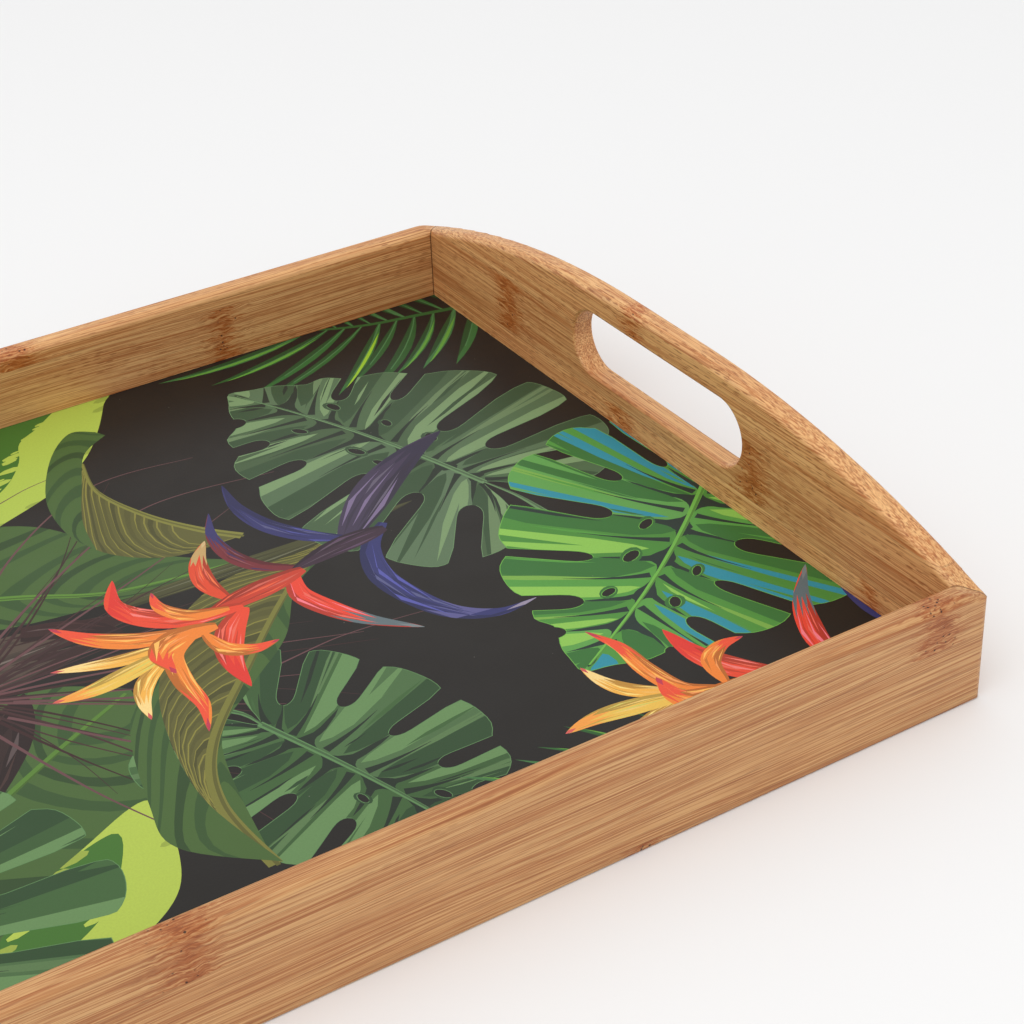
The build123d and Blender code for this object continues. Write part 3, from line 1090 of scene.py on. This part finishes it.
def inksAt(middles, trimmed):
    # the number of the uppermost ink at each place, or -1 on bare paper
    top = np.full(len(middles), -1)
    waiting = np.arange(len(middles))
    for number in range(len(inks) - 1, -1, -1):
        colour, loop, stencil = inks[number]
        edge = trimmed[loop]
        if len(edge) < 3:
            continue
        (lowX, lowY), (highX, highY) = np.min(edge, axis=0), np.max(edge, axis=0)
        x, y = middles[waiting].T
        near = np.nonzero((x > lowX) & (x < highX) & (y > lowY) & (y < highY))[0]
        shapes = [(loop, True)]
        if stencil is not None:
            outer, cuts = stencils[stencil]
            shapes += [(outer, True)] + [(cut, False) for cut in cuts]
        for shape, wanted in shapes:
            near = near[coveredBy(trimmed[shape], x[near], y[near]) == wanted]
        top[waiting[near]] = number
        waiting = np.delete(waiting, near)
    return top


def cutFlat(points, edges, trimmed):
    # triangles with every edge among their sides, and the colour of each
    laid = geometry.delaunay_2d_cdt([Vector(p) for p in points], edges, [], 0, picture["nearest"])
    places = np.array([tuple(v) for v in laid[0]])
    triangles = np.array(laid[2])
    shades = np.array([colour for colour, loop, stencil in inks] + [picture["paper"]])
    return places, triangles, shades[inksAt(places[triangles].mean(axis=1), trimmed)]


def layPicture(halfX, halfY):
    # first all the lines, then again only those that part two colours
    points = [(-halfX, -halfY), (halfX, -halfY), (halfX, halfY), (-halfX, halfY)]
    edges = [(0, 1), (1, 2), (2, 3), (3, 0)]
    trimmed = [clippedTo(loop, halfX, halfY) for loop in loops]
    for loop in trimmed:
        if len(loop) > 2:
            first = len(points)
            points += loop
            edges += [(first + k, first + (k + 1) % len(loop)) for k in range(len(loop))]
    places, triangles, colours = cutFlat(points, edges, trimmed)
    sides = np.concatenate([triangles[:, (0, 1)], triangles[:, (1, 2)], triangles[:, (2, 0)]])
    sides = np.sort(sides, axis=1)
    owners = np.tile(np.arange(len(triangles)), 3)
    order = np.lexsort((sides[:, 1], sides[:, 0]))
    sides, owners = sides[order], owners[order]
    paired = np.zeros(len(sides), bool)
    paired[:-1] = (sides[1:] == sides[:-1]).all(axis=1)
    alike = np.zeros(len(sides), bool)
    alike[:-1] = paired[:-1] & (colours[owners[1:]] == colours[owners[:-1]]).all(axis=1)
    second = np.roll(paired, 1)
    kept = sides[~alike & ~second]
    used, renumbered = np.unique(kept, return_inverse=True)
    return cutFlat(places[used].tolist(), renumbered.reshape(-1, 2).tolist(), trimmed)


onRim = 0.001  # how far from the sheet's edge a place may be and still count as on it


def roundTheSheet(place, high):
    # how far round the sheet's edge a place lies, against the clock from the front left corner
    x, y = place
    if y < -high.y + onRim:
        return x + high.x
    if x > high.x - onRim:
        return 2 * high.x + y + high.y
    if y > high.y - onRim:
        return 2 * high.x + 2 * high.y + high.x - x
    return 4 * high.x + 2 * high.y + high.y - y


def buildPrintedSheet():
    low, high = (Vector(corner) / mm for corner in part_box("printed_sheet"))
    drawRightHalf()
    drawLeftHalf()
    print("picture drawn:", len(inks), "patches of ink")
    places, triangles, colours = layPicture(high.x, high.y)

    # The top is the picture. A wall runs round it and a plain underside closes it.
    rimAt = np.nonzero((abs(places) > (high.x - onRim, high.y - onRim)).any(axis=1))[0]
    around = sorted(rimAt, key=lambda k: roundTheSheet(places[k], high))
    count = len(places)
    verts = [(x * mm, y * mm, high.z * mm) for x, y in places]
    verts += [(places[k][0] * mm, places[k][1] * mm, low.z * mm) for k in around]
    a, b, c = (places[triangles[:, k]] for k in range(3))
    turned = (b[:, 0] - a[:, 0]) * (c[:, 1] - a[:, 1]) - (b[:, 1] - a[:, 1]) * (c[:, 0] - a[:, 0]) < 0
    triangles[turned] = triangles[turned][:, ::-1]
    faces = triangles.tolist()
    for k, here in enumerate(around):
        after = (k + 1) % len(around)
        faces.append((int(around[after]), int(here), count + k, count + after))
    faces.append(tuple(count + k for k in range(len(around)))[::-1])
    mesh = bpy.data.meshes.new("printed_picture")
    mesh.from_pydata(verts, [], faces)
    shades = {tuple(tone): toLinear(*tone) for tone in np.unique(colours, axis=0)}
    paper = toLinear(*picture["paper"])
    corners = []
    for polygon in mesh.polygons:
        shown = shades[tuple(colours[polygon.index])] if polygon.index < len(triangles) else paper
        corners += shown * polygon.loop_total
    attribute = mesh.color_attributes.new("inks", "FLOAT_COLOR", "CORNER")
    attribute.data.foreach_set("color", corners)
    sheet = bpy.data.objects.new("printed_picture", mesh)
    bpy.context.scene.collection.objects.link(sheet)
    return sheet


def printedMaterial():
    made, tree = newMaterial("printed_paper")
    place = placeInMm(tree)
    drawn = addNode(tree, "ShaderNodeVertexColor", {"layer_name": "inks"}).outputs["Color"]
    grain = noiseAt(tree, place, 3.0, 0.6, 1.6)
    cloud = noiseAt(tree, place, 2.0, 0.5, 0.05)
    peel = noiseAt(tree, place, 2.0, 0.5, 0.9)
    faded = smoothStep(tree, grain, 0.3, 0.7, 0.0, picture["fading"])
    colour = blendColour(tree, faded, drawn, toLinear(*picture["haze"]))
    specks = smoothStep(tree, cellsAt(tree, place, picture["specksPerMm"])[0], 0.014, 0.024, 0.45, 0.0)
    colour = blendColour(tree, specks, colour, toLinear(*picture["dust"]))
    smoothest, roughest = picture["roughness"]
    roughness = smoothStep(tree, cloud, 0.3, 0.7, smoothest, roughest)
    relief = timesPlus(tree, peel, 0.7, grain)
    finishMaterial(tree, colour, roughness, relief, picture["relief"], IOR=picture["ior"])
    return made


sheet = buildPrintedSheet()
sheet.data.materials.append(printedMaterial())
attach(sheet, "root")
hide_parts("printed_sheet")
print("printed sheet done:", len(sheet.data.polygons), "faces")


# Plain brown paper glued under the base, seen from below
backing = {
    "paper": (176, 142, 104),
    "fibre": (142, 108, 74),
    "speck": (104, 76, 50),
    "specksPerMm": 0.22,
    "roughness": (0.74, 0.9),
    "relief": 0.06,
}


def backingMaterial():
    made, tree = newMaterial("backing_paper")
    place = placeInMm(tree)
    laid = noiseAt(tree, stretched(tree, place, (0.15, 1.4, 1.0)), 3.0, 0.6)
    pulp = noiseAt(tree, place, 3.0, 0.65, 0.9)
    stain = noiseAt(tree, place, 3.0, 0.6, 0.018)
    paper, fibre, speck = (toLinear(*backing[name]) for name in ("paper", "fibre", "speck"))
    colour = blendColour(tree, smoothStep(tree, laid, 0.35, 0.68, 0.0, 0.6), paper, fibre)
    colour = blendColour(tree, smoothStep(tree, stain, 0.45, 0.75, 0.0, 0.4), colour, fibre)
    specks = smoothStep(tree, cellsAt(tree, place, backing["specksPerMm"])[0], 0.05, 0.12, 0.7, 0.0)
    colour = blendColour(tree, specks, colour, speck)
    roughness = smoothStep(tree, pulp, 0.3, 0.7, *backing["roughness"])
    finishMaterial(tree, colour, roughness, calc(tree, "ADD", pulp, laid), backing["relief"])
    return made


# Pressed fibres in the base's core
core = {
    "ground": (150, 112, 74),
    "fibre": (108, 76, 46),
    "fleck": (196, 160, 116),
    "fibreStretch": (0.8, 0.8, 3.0),
    "fibreNoise": (4.0, 0.7),  # detail and roughness
    "fleckStretch": (1.0, 1.0, 1.0),
    "fleckNoise": (2.0, 0.5, 2.4),
    "fleckShown": (0.62, 0.74, 0.0, 0.6),
    "roughness": (0.82, 0.94),
    "relief": 0.10,
}

# Dry hardwood in the mitres' tongues
tongue = {
    "ground": (196, 160, 116),
    "fibre": (152, 112, 70),
    "fleck": (108, 76, 46),
    "fibreStretch": (1.6, 1.6, 0.12),
    "fibreNoise": (4.0, 0.65),
    "fleckStretch": (4.0, 4.0, 0.8),
    "fleckNoise": (2.0, 0.5),
    "fleckShown": (0.60, 0.72, 0.0, 0.5),
    "roughness": (0.62, 0.76),
    "relief": 0.05,
}


def fibrousMaterial(name, looks):
    # fibres, and flecks on top of them
    made, tree = newMaterial(name)
    place = placeInMm(tree)
    ground, fibre, fleck = (toLinear(*looks[tone]) for tone in ("ground", "fibre", "fleck"))
    fibres = noiseAt(tree, stretched(tree, place, looks["fibreStretch"]), *looks["fibreNoise"])
    flecks = noiseAt(tree, stretched(tree, place, looks["fleckStretch"]), *looks["fleckNoise"])
    colour = blendColour(tree, smoothStep(tree, fibres, 0.35, 0.65), ground, fibre)
    colour = blendColour(tree, smoothStep(tree, flecks, *looks["fleckShown"]), colour, fleck)
    roughness = smoothStep(tree, fibres, 0.3, 0.7, *looks["roughness"])
    finishMaterial(tree, colour, roughness, calc(tree, "ADD", fibres, flecks), looks["relief"])
    return made


coverWith(["backing_sheet"], backingMaterial())
coverWith(["base_core"], fibrousMaterial("fibreboard", core))
tongues = [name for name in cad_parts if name.startswith("mitre_tongue")]
coverWith(tongues, fibrousMaterial("tongue_wood", tongue))
print("base and tongues done")


# Studio: a pale floor, a white surround and two broad soft lights
studio = {
    "floorColour": (0.87, 0.87, 0.87, 1.0),
    "floorSize": 14.0,
    "floorRoughness": 0.85,
    "surround": 0.86,
    "keyPower": 11.0,
    "keyPlace": (-0.7, -0.5, 1.7),
    "keySize": 1.4,
    "fillPower": 1.0,
    "fillPlace": (1.2, -0.6, 1.1),
    "fillSize": 1.0,
}
bpy.ops.object.select_all(action="DESELECT")
bpy.ops.mesh.primitive_plane_add(size=studio["floorSize"], location=(0, 0, trayLow.z))
floor = bpy.context.object
floor.name = "studio_floor"
floorMaterial, tree = newMaterial("studio_floor")
dust = noiseAt(tree, addNode(tree, "ShaderNodeTexCoord").outputs["Object"], 2.0, 0.5, 40.0)
finishMaterial(tree, studio["floorColour"], studio["floorRoughness"], dust, 0.02)
floor.data.materials.append(floorMaterial)


def addSoftLight(name, power, place, size):
    lamp = bpy.data.lights.new(name, "AREA")
    lamp.energy = power
    lamp.size = size
    holder = bpy.data.objects.new(name, lamp)
    bpy.context.scene.collection.objects.link(holder)
    holder.location = place
    holder.rotation_euler = (Vector(place) * -1).to_track_quat("-Z", "Y").to_euler()


addSoftLight("key_light", studio["keyPower"], studio["keyPlace"], studio["keySize"])
addSoftLight("fill_light", studio["fillPower"], studio["fillPlace"], studio["fillSize"])
surround = bpy.data.worlds.new("surround")
surround.use_nodes = True
light = surround.node_tree.nodes["Background"].inputs
light["Color"].default_value = (1.0, 1.0, 1.0, 1.0)
light["Strength"].default_value = studio["surround"]
bpy.context.scene.world = surround

# Camera, over the tray's front left, looking at its right handle
view = {
    "place": (-0.17248, -0.51807, 0.38683),
    "azimuth": 30.861,
    "elevation": 32.117,
    "roll": -2.428,
    "lens": 78.64,
}
lens = bpy.data.cameras.new("camera")
lens.lens = view["lens"]
camera = bpy.data.objects.new("camera", lens)
bpy.context.scene.collection.objects.link(camera)
turn = Matrix.Rotation(math.radians(-view["azimuth"]), 4, "Z")
tilt = Matrix.Rotation(math.radians(90 - view["elevation"]), 4, "X")
roll = Matrix.Rotation(math.radians(view["roll"]), 4, "Z")
camera.matrix_world = Matrix.Translation(view["place"]) @ turn @ tilt @ roll
bpy.context.scene.camera = camera
bpy.context.scene.view_settings.view_transform = "Standard"
print("studio and camera done")
